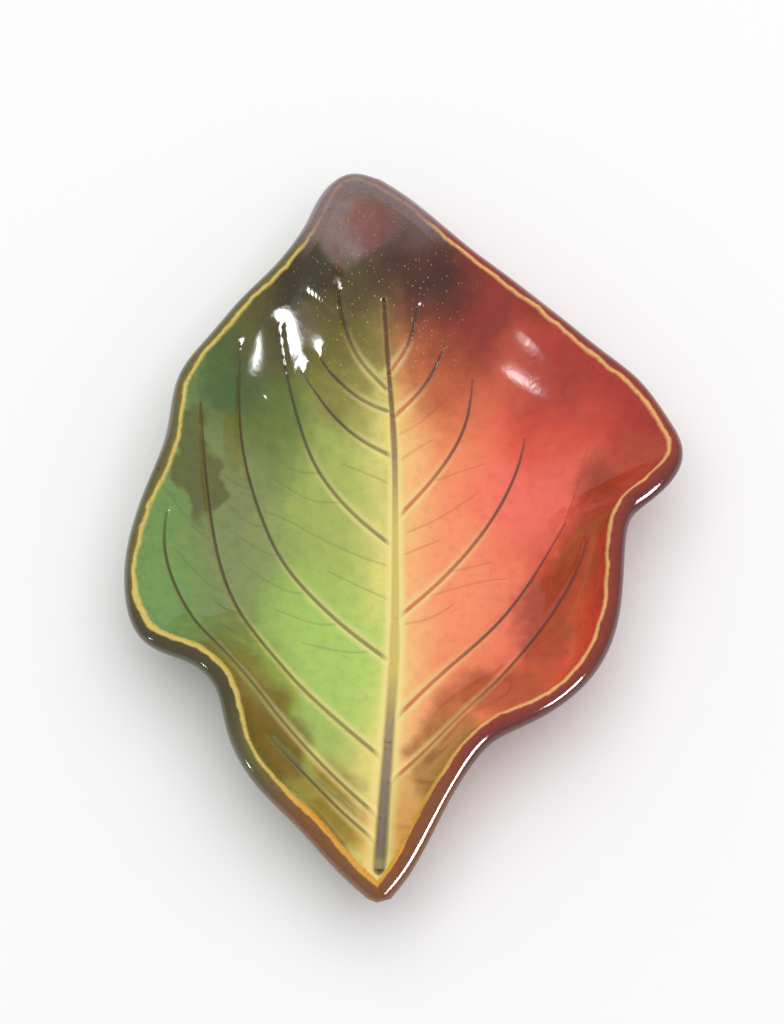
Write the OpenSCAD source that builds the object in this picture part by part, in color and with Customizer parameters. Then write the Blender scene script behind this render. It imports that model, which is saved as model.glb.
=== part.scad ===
// Leaf ring dish: a slab of clay pressed with a leaf, its edge drawn up into a
// fluted wall, with coats of glaze on the face, lip and back, and dark stain
// laid in the pressed veins. Millimetres. The origin is the middle of the base
// on the table, the leaf points along +Y and +Z is up.

/* [Leaf] */
// Length of the hollow, from the stalk corner to the tip
hollow_length = 125; // [105:1:145]
// Width of the hollow across its two widest lobes
hollow_width = 91; // [76:1:106]

/* [Foot] */
// Length of the flat oval that the dish stands on
foot_length = 54; // [44:1:62]
// Width of the flat oval that the dish stands on
foot_width = 38; // [30:1:42]

/* [Wall] */
// Middle height of the inner lip above the table
lip_height = 16.5; // [14:0.5:22]
// Rise and fall of the fluted lip, from its lowest hollow to its highest crest
lip_wave = 3; // [0:0.5:5]
// Thickness of the clay slab
slab = 3; // [2.4:0.1:4]
// How far the rounded cut edge stands out past the lip
edge_round = 1; // [0.5:0.1:1.6]

/* [Glaze] */
// Thickness of every coat of glaze
coat = 0.45; // [0.3:0.05:0.7]
// Width of the lip glaze on the face and on the back, below the cut edge
lip_band = 1.6; // [1:0.1:2.4]
// Rise of the wall at which the back glaze stops, above the bare foot
glaze_line = 1.6; // [1.2:0.1:3]

/* [Veins] */
// Width of the midrib groove at the stalk
midrib_width = 2.2; // [1.6:0.1:3]
// Width of a side vein's groove where it leaves the midrib
vein_width = 1.3; // [0.9:0.1:1.8]
// Depth of the grooves below the face of the glaze
groove_depth = 0.9; // [0.8:0.05:1.3]
// How far the stain lies below the face of the glaze
stain_recess = 0.2; // [0.1:0.05:0.25]

/* [Hidden] */

// The inner lip from the stalk to the tip: across, along, lift and flare. Across
// and along are millimetres on a hollow of the sizes below. Lift is a share of
// lip_wave. Flare bends the wall: under 0 it flattens outward at the lip.
drawn_length = 125;
drawn_width = 91;
left_lip = [
    [-4, -62, -0.8, -0.1], [-9, -57.5, -0.65, -0.2], [-14.5, -51, -0.35, -0.2],
    [-21, -45, 0, -0.3], [-26, -37.5, 0.2, -0.4], [-28, -28.5, 0.5, -0.4],
    [-34.5, -22, 0.3, -0.5], [-42, -19, -0.2, -0.5], [-45, -10.5, -0.5, -0.6],
    [-43.5, 0.5, -0.3, -0.6], [-39.5, 9.5, 0.2, -0.5], [-37.5, 17, 0.4, -0.5],
    [-36.5, 25.5, 0.15, -0.6], [-32, 32.5, -0.15, -0.6], [-25.5, 40.5, -0.15, -0.6],
    [-19.5, 47, 0, -0.5], [-15, 53.5, 0, -0.5], [-12, 60, 0, -0.4],
    [-8.5, 62.5, 0, -0.4], [-4.5, 61.5, -0.1, -0.4]
];
right_lip = [
    [-4, -62, -0.8, -0.1], [-1, -58, -0.65, -0.2], [3, -50.5, -0.3, -0.3],
    [7, -43.5, 0.15, -0.4], [13, -36, 0.35, -0.6], [21.5, -32, 0.35, -0.5],
    [29, -26, 0.15, -0.4], [33, -18.5, 0.15, -0.4], [34.5, -9.5, 0.35, -0.4],
    [35.5, 1, 0.5, -0.4], [40.5, 6, 0.5, -0.4], [45.5, 11.5, 0.35, -0.4],
    [43.5, 17, 0.35, -0.5], [38.5, 24.5, 0.35, -0.5], [31, 31, 0.15, -0.6],
    [22, 39.5, 0, -0.6], [11, 48.5, -0.15, -0.6], [2, 57, -0.1, -0.5],
    [-4.5, 61.5, -0.1, -0.4]
];

// The side veins in plan on the same drawn hollow, each from the midrib outward
left_veins = [
    [[-4, -54], [-10.5, -48.5], [-16.5, -42.5], [-22, -37]],
    [[-3.5, -49.5], [-13.5, -40.5], [-24, -28.5], [-34.5, -17], [-40, -6], [-40, 2]],
    [[-2.5, -39], [-14, -29], [-24.5, -18], [-31, -6], [-33.5, 9], [-34.5, 21.5]],
    [[-1.5, -21.5], [-10.5, -14.5], [-19.5, -5], [-24, 4], [-28, 17], [-28, 33]],
    [[-1.5, -0.5], [-8, 5], [-14.5, 13], [-18, 22], [-20.5, 31], [-21.5, 37]],
    [[-1.5, 16], [-7, 19], [-12, 23.5], [-17.5, 30.5]],
    [[-2.5, 24.5], [-7, 26.5], [-12.5, 31], [-14.5, 33.5]],
    [[-2.5, 28.5], [-8, 34.5], [-10.5, 41], [-11, 45]]
];
right_veins = [
    [[-2.5, -43], [7.5, -34.5], [19, -22], [28.5, -10], [31.5, -2.5]],
    [[-1.5, -31.5], [8, -22], [18, -13], [28, 2]],
    [[-1, -13.5], [7.5, -6], [15.5, 4], [20, 13], [21.5, 18.5]],
    [[-1, 4.5], [6, 12.5], [11.1, 21], [12.5, 29.5]],
    [[-1.3, 23.5], [4, 29], [7.5, 35.5]],
    [[-2.3, 31.5], [1.5, 37], [2.8, 43]]
];

// The midrib along the drawn hollow: its two ends, and where its stain changes
midrib_start = -59;
midrib_change = -35.5;
midrib_end = 44;

// Where the seam under the midrib lies across the drawn hollow, mid-foot
seam_across = -1.2;
// Share of the foot's half length at which that seam turns toward the ends
seam_share = 0.6;

// Spokes on each side from the stalk to the tip
spokes = 28;
// Columns on the face: the seam, half floor, foot edge, then up the wall
foot_col = 2;
line_col = 4;
band_col = 9;
lip_col = 10;
// Steps round the cut edge
edge_steps = 6;
// The last column, back at the seam under the foot
end_col = 2 * lip_col + edge_steps;

// The tip glaze starts at this spoke on both sides, and at this column
tip_spoke = 24;
tip_col = 7;

// Spacing of the stations along a groove
groove_step = 4;
// Lap of a groove's last length over the rest
groove_lap = 0.3;
// Part of the width that a groove keeps at its floor, and at its outer end
groove_floor = 0.3;
groove_end = 0.4;
// Reach of the groove cutters above the face of the glaze
cutter_top = 0.6;
// Halvings that find the spoke under a point, and the step used for slopes
halvings = 16;
tiny = 0.002;
slope_step = 0.5;

// A smooth curve close to every point of a list, at u from 0 to 1
function mirrored(p, i) =
    i < 0 ? 2 * p[0] - p[1] :
    i > len(p) - 1 ? 2 * p[len(p) - 1] - p[len(p) - 2] :
    p[i];
function pulled(p, i) = p[i] - (mirrored(p, i - 1) - 2 * p[i] + mirrored(p, i + 1)) / 6;
function knots(p) = [for (i = [0 : len(p) - 1]) pulled(p, i)];
function curve(k, u) =
    let (t = u * (len(k) - 1), i = min(floor(t), len(k) - 2), f = t - i)
    (pow(1 - f, 3) * mirrored(k, i - 1)
        + (3 * pow(f, 3) - 6 * f * f + 4) * k[i]
        + (3 * f + 3 * f * f - 3 * pow(f, 3) + 1) * k[i + 1]
        + pow(f, 3) * mirrored(k, i + 2)) / 6;

// Drawn plan sizes turned into the set sizes of the hollow
function across(x) = x * hollow_width / drawn_width;
function along(y) = y * hollow_length / drawn_length;
function sized_lip(p) = [for (r = p) [across(r[0]), along(r[1]), lip_height + lip_wave * r[2], r[3]]];
function sized_line(p) = [for (q = p) [across(q[0]), along(q[1])]];
left_knots = knots(sized_lip(left_lip));
right_knots = knots(sized_lip(right_lip));
function lip(left, v) = curve(left ? left_knots : right_knots, v);

// The point of the foot's oval that faces a lip point
function foot_point(r) =
    let (a = atan2(r[1] / hollow_length, r[0] / hollow_width))
    [foot_width / 2 * cos(a), foot_length / 2 * sin(a)];

// The face of the clay at share t of the way from the foot's oval to the lip
function wall(r, t) =
    let (w = foot_point(r), rise = (1 - r[3]) * t * t + r[3] * pow(t, 4))
    [w[0] + (r[0] - w[0]) * t, w[1] + (r[1] - w[1]) * t, slab + (r[2] - slab) * rise];
function floor_point(r, t) =
    let (w = foot_point(r))
    [across(seam_across) * (1 - t) + w[0] * t, w[1] * (seam_share + (1 - seam_share) * t), slab];

// Directions on the wall: square to it, and up along it
function unit(a) = a / norm(a);
function up_wall(r, t) = unit(wall(r, t + tiny) - wall(r, t - tiny));
function square_on(left, v, t) =
    let (
        on = lip(left, min(v + tiny, 1)),
        back = lip(left, max(v - tiny, 0)),
        n = cross(wall(on, t) - wall(back, t), up_wall(lip(left, v), t))
    )
    unit(n[2] < 0 ? -n : n);

// Spoke k runs round the dish from the stalk, up the left side and down the right
function on_left(k) = k <= spokes;
function share(k) = (k <= spokes ? k : 2 * spokes - k) / spokes;
function at_end(k) = k == 0 || k == spokes;
function normal(k, t) =
    at_end(k)
        ? unit(square_on(true, share(k), t) + square_on(false, share(k), t))
        : square_on(on_left(k), share(k), t);

// Share up the wall of each column of a spoke
function line_share(r) = sqrt(glaze_line / ((lip_height - slab) * (1 - r[3])));
function band_share(r) = 1 - lip_band / norm([r[0], r[1]] - foot_point(r));
function col_share(r, j) =
    j <= line_col ? line_share(r) * (j - foot_col) / (line_col - foot_col) :
    j <= band_col ? line_share(r) + (band_share(r) - line_share(r)) * (j - line_col) / (band_col - line_col) :
    1;

// A point of spoke k. Columns run out along the face, round the cut edge and back
// under the dish, raised off the clay by lift.
function skin(k, j, lift) =
    let (r = lip(on_left(k), share(k)))
    j <= lip_col ? face_point(k, r, j, lift) :
    j < end_col - lip_col ? edge_point(k, r, 180 * (j - lip_col) / edge_steps, lift) :
    face_point(k, r, end_col - j, -slab - lift);
function face_point(k, r, j, lift) =
    j <= foot_col
        ? floor_point(r, j / foot_col) + [0, 0, lift]
        : let (t = col_share(r, j)) wall(r, t) + normal(k, t) * lift;
function edge_point(k, r, turn, lift) =
    wall(r, 1) + normal(k, 1) * ((slab / 2 + lift) * cos(turn) - slab / 2)
        + up_wall(r, 1) * (edge_round + lift) * sin(turn);

// Two triangles of a four-cornered cell or of a coat's side
function cell(a, b, c, d) = [[a, b, c], [a, c, d]];
function side(a, b, n) =
    a < b
        ? [[b + n, a + n, b], [a + n, a, b]]
        : [[b + n, a + n, a], [b + n, a, b]];

// Number of a point in the list of skins. Both sides share the seam.
ring = 2 * spokes;
function seam_spoke(k, j) = (j == 0 || j == end_col) && k > spokes ? ring - k : k;
function id(k, j) = seam_spoke(k % ring, j) * (end_col + 1) + j;
function skins(lift) = [for (k = [0 : ring - 1], j = [0 : end_col]) skin(k, j, lift)];
function corners(k, j) = [id(k, j), id(k, j + 1), id(k + 1, j + 1), id(k + 1, j)];

clay_skin = skins(0);
glaze_skin = skins(coat);
stain_skin = skins(coat - stain_recess);
skin_count = len(clay_skin);

// The whole clay slab, with no grooves in it
module slab_solid() {
    polyhedron(clay_skin, [
        for (k = [0 : ring - 1], j = [0 : end_col - 1])
            let (c = corners(k, j)) each cell(c[0], c[1], c[2], c[3])
    ]);
}

// A coat on the cells that lies_on picks, from the clay up to the top skin
module coat_solid(top, lies_on) {
    held = function (k, j) j < 0
        ? lies_on(ring - 1 - k, 0)
        : lies_on((k + ring) % ring, j);
    polyhedron(concat(clay_skin, top), [
        for (k = [0 : ring - 1], j = [0 : end_col - 1])
            if (lies_on(k, j))
                let (c = corners(k, j), n = skin_count)
                each concat(
                    cell(c[0] + n, c[1] + n, c[2] + n, c[3] + n),
                    [[c[2], c[1], c[0]], [c[3], c[2], c[0]]],
                    held(k - 1, j) ? [] : side(c[0], c[1], n),
                    held(k, j + 1) ? [] : side(c[1], c[2], n),
                    held(k + 1, j) ? [] : side(c[2], c[3], n),
                    held(k, j - 1) ? [] : side(c[3], c[0], n)
                )
    ]);
}

// Which cells each coat lies on
left_cell = function (k) k < spokes;
tip_cell = function (k, j) j >= tip_col && abs(k + 0.5 - spokes) < spokes - tip_spoke;
on_face = function (k, j) j < band_col && !tip_cell(k, j);
on_left_face = function (k, j) left_cell(k) && on_face(k, j);
on_right_face = function (k, j) !left_cell(k) && on_face(k, j);
on_tip = function (k, j) j < band_col && tip_cell(k, j);
on_lip = function (k, j) j >= band_col && j < end_col - band_col;
on_back = function (k, j) j >= end_col - band_col && j < end_col - line_col;
on_left_back = function (k, j) left_cell(k) && on_back(k, j);
on_right_back = function (k, j) !left_cell(k) && on_back(k, j);
on_any_face = function (k, j) j < lip_col;

// The seam's place across the dish, at a place along it
function seam_at(y) =
    let (
        r = lip(true, y < 0 ? 0 : 1),
        w = foot_point(r),
        bend = w[1] * seam_share,
        middle = across(seam_across)
    )
    abs(y) < abs(bend) ? middle :
    abs(y) < abs(w[1]) ? middle + (w[0] - middle) * (y - bend) / (w[1] - bend) :
    w[0] + (r[0] - w[0]) * (y - w[1]) / (r[1] - w[1]);

// The clay's face over a point in plan, by halving to the spoke that passes there
function before(left, v, p) =
    let (r = lip(left, v), w = foot_point(r), turn = cross([r[0], r[1]] - w, p - w))
    left ? turn < 0 : turn > 0;
function spoke_over(left, p, low, high, halves) =
    let (mid = (low + high) / 2)
    halves == 0 ? mid :
    before(left, mid, p)
        ? spoke_over(left, p, mid, high, halves - 1)
        : spoke_over(left, p, low, mid, halves - 1);
function height_over(p) =
    let (
        left = p[0] < seam_at(p[1]),
        r = lip(left, spoke_over(left, p, 0, 1, halvings)),
        w = foot_point(r),
        run = [r[0], r[1]] - w,
        t = (p - w) * run / (run * run)
    )
    wall(r, min(max(t, 0), 1))[2];
function face_over(p) = [
    p[0], p[1],
    norm([p[0] / foot_width, p[1] / foot_length]) < 0.5 ? slab : height_over(p)
];

// The four corners of a groove's cutter at station i, square on the face
function groove_section(line, i, width, depth, shift) =
    let (
        here = face_over(line[i]),
        ahead = line[min(i + 1, len(line) - 1)] - line[max(i - 1, 0)],
        beyond = unit([-ahead[1], ahead[0]]) * slope_step,
        along_face = unit(face_over(line[i] + unit(ahead) * slope_step) - here),
        over_face = face_over(line[i] + beyond) - here,
        out = unit(cross(along_face, over_face)),
        off = unit(cross(out, along_face)) * width / 2,
        low = here + along_face * shift + out * (coat - depth),
        high = here + along_face * shift + out * (coat + cutter_top),
        spread = groove_floor + (1 - groove_floor) * (depth + cutter_top) / depth
    )
    [low - off * groove_floor, low + off * groove_floor, high + off * spread, high - off * spread];

// A groove: an even sweep with flat ends, then a last length that runs out thin
module groove(line, start_width, end_width) {
    last = len(line) - 1;
    width = function (i) start_width + (end_width - start_width) * i / last;
    sweep = [for (i = [0 : last - 1]) each groove_section(line, i, width(i), groove_depth, 0)];
    top = len(sweep) - 4;
    polyhedron(sweep, concat(
        cell(0, 1, 2, 3),
        cell(top + 3, top + 2, top + 1, top),
        [for (i = [0 : 4 : top - 4]) each tube_faces(i)]
    ));
    hull()
        polyhedron(concat(
            groove_section(line, last - 1, width(last - 1), groove_depth, -groove_lap),
            groove_section(line, last, end_width * groove_end, coat, 0)
        ), concat(cell(0, 1, 2, 3), cell(7, 6, 5, 4), tube_faces(0)));
}
function tube_faces(i) = [
    for (j = [0 : 3]) each cell(i + 4 + j, i + 4 + (j + 1) % 4, i + (j + 1) % 4, i + j)
];

// Stations of a curved vein, and of a stretch of the midrib on its seam
function line_length(p) =
    len(p) < 2 ? 0 : norm(p[1] - p[0]) + line_length([for (i = [1 : len(p) - 1]) p[i]]);
function stations(length) = ceil(length / groove_step);
function vein_path(line) =
    let (path = sized_line(line), steps = stations(line_length(path)), k = knots(path))
    [for (i = [0 : steps]) curve(k, i / steps)];
function seam_path(from, to) =
    let (steps = stations(along(to - from)))
    [for (i = [0 : steps]) let (y = along(from + (to - from) * i / steps)) [seam_at(y), y]];
module stalk_groove() {
    groove(seam_path(midrib_start, midrib_change), midrib_width, midrib_width);
}
module midrib_groove() {
    groove(seam_path(midrib_change, midrib_end), midrib_width, midrib_width * groove_end);
}
module vein_grooves(lines) {
    for (line = lines)
        groove(vein_path(line), vein_width, vein_width * groove_end);
}
module all_grooves() {
    stalk_groove();
    midrib_groove();
    vein_grooves(left_veins);
    vein_grooves(right_veins);
}

// Stain fills the grooves up to just below the face of the glaze
module stain_level() {
    slab_solid();
    coat_solid(stain_skin, on_any_face);
}

module clay_body() {
    color("#b9a488")
        difference() {
            slab_solid();
            all_grooves();
        }
}
module face_coat(lies_on) {
    difference() {
        coat_solid(glaze_skin, lies_on);
        all_grooves();
    }
}
module left_face_glaze() {
    color("#8fb35a") face_coat(on_left_face);
}
module right_face_glaze() {
    color("#e0553f") face_coat(on_right_face);
}
module tip_glaze() {
    color("#86706e") face_coat(on_tip);
}
module lip_glaze() {
    color("#e6c483") face_coat(on_lip);
}
module left_back_glaze() {
    color("#6e7a3a") coat_solid(glaze_skin, on_left_back);
}
module right_back_glaze() {
    color("#a83a28") coat_solid(glaze_skin, on_right_back);
}
module stalk_stain() {
    color("#54484c")
        intersection() {
            stain_level();
            stalk_groove();
        }
}
module midrib_stain() {
    color("#b9a24f")
        difference() {
            intersection() {
                stain_level();
                midrib_groove();
            }
            stalk_groove();
        }
}
module side_stain(lines) {
    difference() {
        intersection() {
            stain_level();
            vein_grooves(lines);
        }
        stalk_groove();
        midrib_groove();
    }
}
module left_vein_stain() {
    color("#3f4a3a") side_stain(left_veins);
}
module right_vein_stain() {
    color("#6b2f22") side_stain(right_veins);
}

clay_body();
left_face_glaze();
right_face_glaze();
tip_glaze();
lip_glaze();
left_back_glaze();
right_back_glaze();
stalk_stain();
midrib_stain();
left_vein_stain();
right_vein_stain();
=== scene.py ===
import bpy
import math
import numpy as np
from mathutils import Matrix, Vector
from mathutils.bvhtree import BVHTree


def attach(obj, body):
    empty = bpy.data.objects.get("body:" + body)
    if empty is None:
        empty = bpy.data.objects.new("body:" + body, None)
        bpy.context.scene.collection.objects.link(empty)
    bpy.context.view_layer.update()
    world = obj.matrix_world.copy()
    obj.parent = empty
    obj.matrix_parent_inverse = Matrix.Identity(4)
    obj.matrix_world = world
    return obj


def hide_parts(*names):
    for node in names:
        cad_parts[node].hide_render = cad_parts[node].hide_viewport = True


# A leaf-shaped ring dish: pressed clay with brushed glazes, seen from above on a pale table.
# Lengths are millimetres until a mesh is written, and MM turns them into metres.
MM = 0.001
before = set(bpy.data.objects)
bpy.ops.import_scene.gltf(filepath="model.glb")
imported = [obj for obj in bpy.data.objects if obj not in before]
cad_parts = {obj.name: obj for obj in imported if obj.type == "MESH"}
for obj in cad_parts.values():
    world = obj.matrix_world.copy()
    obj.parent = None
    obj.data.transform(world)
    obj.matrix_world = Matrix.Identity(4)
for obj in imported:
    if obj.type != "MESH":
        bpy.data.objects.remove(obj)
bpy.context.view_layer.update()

# Sizes of the clay and its coats, the same as in the part
SLAB, COAT, EDGE_ROUND = 3.0, 0.45, 1.0
FOOT_WIDTH, FOOT_LENGTH = 38.0, 54.0
LIP_HEIGHT, LIP_WAVE, LIP_BAND, GLAZE_LINE = 16.5, 3.0, 1.6, 1.6
HOLLOW_LENGTH, HOLLOW_WIDTH = 125.0, 91.0
SEAM_ACROSS, SEAM_SHARE = -1.2, 0.6

# The inner lip from the stalk to the tip: across, along, lift and flare
LEFT_LIP = [
    (-4, -62, -0.8, -0.1), (-9, -57.5, -0.65, -0.2), (-14.5, -51, -0.35, -0.2),
    (-21, -45, 0, -0.3), (-26, -37.5, 0.2, -0.4), (-28, -28.5, 0.5, -0.4),
    (-34.5, -22, 0.3, -0.5), (-42, -19, -0.2, -0.5), (-45, -10.5, -0.5, -0.6),
    (-43.5, 0.5, -0.3, -0.6), (-39.5, 9.5, 0.2, -0.5), (-37.5, 17, 0.4, -0.5),
    (-36.5, 25.5, 0.15, -0.6), (-32, 32.5, -0.15, -0.6), (-25.5, 40.5, -0.15, -0.6),
    (-19.5, 47, 0, -0.5), (-15, 53.5, 0, -0.5), (-12, 60, 0, -0.4),
    (-8.5, 62.5, 0, -0.4), (-4.5, 61.5, -0.1, -0.4)]
RIGHT_LIP = [
    (-4, -62, -0.8, -0.1), (-1, -58, -0.65, -0.2), (3, -50.5, -0.3, -0.3),
    (7, -43.5, 0.15, -0.4), (13, -36, 0.35, -0.6), (21.5, -32, 0.35, -0.5),
    (29, -26, 0.15, -0.4), (33, -18.5, 0.15, -0.4), (34.5, -9.5, 0.35, -0.4),
    (35.5, 1, 0.5, -0.4), (40.5, 6, 0.5, -0.4), (45.5, 11.5, 0.35, -0.4),
    (43.5, 17, 0.35, -0.5), (38.5, 24.5, 0.35, -0.5), (31, 31, 0.15, -0.6),
    (22, 39.5, 0, -0.6), (11, 48.5, -0.15, -0.6), (2, 57, -0.1, -0.5),
    (-4.5, 61.5, -0.1, -0.4)]

# The pressed veins in plan, each from the midrib outward
MIDRIB = [(-3.8, -59), (-3, -45), (-1.8, -28), (-1.2, -16), (-1.2, 0), (-1.2, 16), (-2, 28), (-3.2, 44)]
STALK_END = -35.5
LEFT_VEINS = [
    [(-4, -54), (-10.5, -48.5), (-16.5, -42.5), (-22, -37)],
    [(-3.5, -49.5), (-13.5, -40.5), (-24, -28.5), (-34.5, -17), (-40, -6), (-40, 2)],
    [(-2.5, -39), (-14, -29), (-24.5, -18), (-31, -6), (-33.5, 9), (-34.5, 21.5)],
    [(-1.5, -21.5), (-10.5, -14.5), (-19.5, -5), (-24, 4), (-28, 17), (-28, 33)],
    [(-1.5, -0.5), (-8, 5), (-14.5, 13), (-18, 22), (-20.5, 31), (-21.5, 37)],
    [(-1.5, 16), (-7, 19), (-12, 23.5), (-17.5, 30.5)],
    [(-2.5, 24.5), (-7, 26.5), (-12.5, 31), (-14.5, 33.5)],
    [(-2.5, 28.5), (-8, 34.5), (-10.5, 41), (-11, 45)]]
RIGHT_VEINS = [
    [(-2.5, -43), (7.5, -34.5), (19, -22), (28.5, -10), (31.5, -2.5)],
    [(-1.5, -31.5), (8, -22), (18, -13), (28, 2)],
    [(-1, -13.5), (7.5, -6), (15.5, 4), (20, 13), (21.5, 18.5)],
    [(-1, 4.5), (6, 12.5), (11, 21), (12.5, 29.5)],
    [(-1.3, 23.5), (4, 29), (7.5, 35.5)],
    [(-2.3, 31.5), (1.5, 37), (2.8, 43)]]
FINE_VEINS = [
    [(-8, -57.5), (-12, -52), (-15, -49), (-18, -46)], [(-10.5, 41.5), (-13, 41.5), (-17, 43)],
    [(28, 2), (30.5, 9.5), (32, 15)],
    [(-11, 7.5), (-14, 7.5), (-17.5, 8.5), (-20.5, 10.5), (-23, 11.5)],
    [(-14, 13), (-18, 13), (-21.5, 15), (-26, 19)], [(-24, 3), (-26.5, 3), (-30.5, 6)],
    [(-21, -2), (-23.5, -2), (-29, 1), (-31.5, 2)], [(-17, -9), (-20.5, -8.5), (-26.5, -5), (-28, -3.5)],
    [(-11.5, -14.5), (-15, -14.5), (-22, -12)], [(-6, -19.5), (-10, -19.5), (-17, -18)],
    [(-2.5, -4), (-7, -2.5), (-14.5, 1), (-20.5, 4.5), (-24, 5.5)], [(-2.5, 11), (-5.5, 12.5), (-10.5, 14.5)],
    [(-2.5, -10), (-7, -8), (-13, -5)], [(-26.5, 9), (-29, 9.5), (-31, 10.5)],
    [(-33, -1), (-35.5, 0.5), (-40.5, 6)], [(-29.5, -10), (-33, -9), (-39, -3.5)],
    [(-27, -13.5), (-30, -13), (-33, -11)], [(-24.5, -19), (-27, -19), (-31, -16)],
    [(-18.5, 22.5), (-21.5, 23), (-25.5, 25.5)], [(-29.5, 28), (-31.5, 28.5), (-34, 29.5)],
    [(-0.5, 20), (3, 22), (8, 26.5)], [(0, 15.5), (3, 17.5), (5.5, 19)], [(6, 11.5), (10, 13), (14.5, 14.5)],
    [(1, 2), (6.5, 4.5), (13, 9)], [(0.5, -2), (6.5, 0.5)], [(9, -5), (15.5, -3.5)],
    [(5, -9.5), (13.5, -7), (18, -6.5)], [(0.5, -14.5), (5, -13.5), (9, -11)]]

# Density of the meshes: spokes on each side, columns on the floor, wall, lip and cut edge
SPOKES, FLOOR_COLS, WALL_COLS, BAND_COLS, EDGE_COLS = 230, 30, 72, 6, 24
LINE_COLS = WALL_COLS // 4
FOOT_COL = FLOOR_COLS
LINE_COL = FOOT_COL + LINE_COLS
BAND_COL = FOOT_COL + WALL_COLS
LIP_COL = BAND_COL + BAND_COLS
BACK_COL = LIP_COL + EDGE_COLS
END_COL = BACK_COL + LIP_COL
RING = 2 * SPOKES
TIP_SPOKE_SHARE, TIP_WALL_SHARE = 24 / 28, 0.55
TIP_SPOKE, TIP_COL = round(SPOKES * TIP_SPOKE_SHARE), FOOT_COL + round(WALL_COLS * TIP_WALL_SHARE)
# Columns over which the pressed leaf fades below the lip, and over which the back glaze rolls up
FADE_COLS, ROLL_COLS = 8, 7

# Hand-made unevenness: height in millimetres, length of the waves, seed and octaves
LIP_RIPPLE = (0.14, 18, 3, 1)
FACE_RIPPLE = (0.05, 22, 5, 2)
EDGE_RIPPLE = (0.1, 15, 8, 1)
# The same for the glaze line, where the height is a share of its place up the wall
LINE_WANDER = (0.07, 16, 4, 3)
# How softly the wall rises from the floor, as the square of a share up the wall
ONSET = 0.02

# Half widths of the pressed lines where they start and where they end
RIB_HALF, VEIN_HALF, FINE_HALF = (1.15, 0.3), (0.5, 0.26), (0.22, 0.16)
# Depths of the pressed lines, and how much shallower a side vein gets outward
RIB_DEPTH, VEIN_DEPTH, VEIN_THINNING, FINE_DEPTH = 0.5, 0.42, 0.2, 0.13
# How far those dents reach, in half widths of their lines
RIB_REACH, VEIN_REACH, FINE_REACH = 1.05, 1.1, 1.2
# Swell of the face between the veins, how far it starts below the smooth face, and the half
# widths over which it rises from a side vein and from the midrib
SWELL, SWELL_START, SWELL_FROM_VEIN, SWELL_FROM_RIB = 0.16, 0.1, 7, 3
# Half widths of the ribbons of stain in the midrib and in the side veins
STALK_RIBBON, RIB_RIBBON, VEIN_RIBBON = (0.9, 0.8), (0.8, 0.25), (0.3, 0.14)
# A ribbon's section: places across in half widths, and heights over the groove's floor
RIBBON = [(-1, -0.05), (-0.7, 0.01), (0, 0.03), (0.7, 0.01), (1, -0.05), (0.6, -0.2), (-0.6, -0.2)]
# Corners between faces that turn more than this stay crisp
CRISP = math.radians(50)
# Straight lengths of a pressed line, and steps of a ribbon of stain, for each point of the vein
STROKES_PER_POINT, RIBBON_STEPS = 6, 14
# The way round the lip that is stored for the stains, which lie well inside it
INSIDE_LIP = -20.0
FAR = 1e9


def knots(points):
    """Control points that bring a smooth curve close to the points."""
    p = np.array(points, float)
    q = np.vstack([2 * p[0] - p[1], p, 2 * p[-1] - p[-2]])
    return p - (q[:-2] - 2 * p + q[2:]) / 6


def curve(points, u):
    """A smooth curve close by the points, at every u from 0 to 1."""
    k = knots(points)
    k = np.vstack([2 * k[0] - k[1], k, 2 * k[-1] - k[-2]])
    t = np.clip(u, 0, 1) * (len(points) - 1)
    i = np.minimum(t.astype(int), len(points) - 2)
    f = (t - i)[:, None]
    return ((1 - f) ** 3 * k[i] + (3 * f ** 3 - 6 * f * f + 4) * k[i + 1]
            + (3 * f + 3 * f * f - 3 * f ** 3 + 1) * k[i + 2] + f ** 3 * k[i + 3]) / 6


def ripple(points, height, size, seed, octaves):
    """Smooth unevenness, a sum of waves in fixed random directions."""
    waves, evening = 5, 2.6
    wave = np.random.default_rng(seed)
    total = np.zeros(points.shape[:-1])
    for octave in range(octaves):
        for _ in range(waves):
            way = wave.normal(size=points.shape[-1])
            way *= 2 * math.pi * 2 ** octave / (size * np.linalg.norm(way))
            total += np.sin(points @ way + wave.uniform(0, 2 * math.pi)) / (evening * 2 ** octave)
    return height * total


def unit(a):
    return a / np.maximum(np.linalg.norm(a, axis=-1, keepdims=True), 1e-9)


# The lip point and the foot point of every spoke, clockwise from the stalk
rows = np.arange(SPOKES + 1) / SPOKES
left_row, right_row = curve(LEFT_LIP, rows), curve(RIGHT_LIP, rows)
lip = np.vstack([left_row, right_row[-2:0:-1]])
lip[:, 2] = LIP_HEIGHT + LIP_WAVE * lip[:, 2] + ripple(lip[:, :2], *LIP_RIPPLE)
angle = np.arctan2(lip[:, 1] / HOLLOW_LENGTH, lip[:, 0] / HOLLOW_WIDTH)
foot = np.stack([FOOT_WIDTH / 2 * np.cos(angle), FOOT_LENGTH / 2 * np.sin(angle)], 1)
run = np.linalg.norm(lip[:, :2] - foot, axis=1)
band_share = 1 - LIP_BAND / run
line_share = np.sqrt(GLAZE_LINE / ((LIP_HEIGHT - SLAB) * (1 - lip[:, 3])))
line_share = line_share * (1 + ripple(lip[:, :2], *LINE_WANDER))


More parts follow.
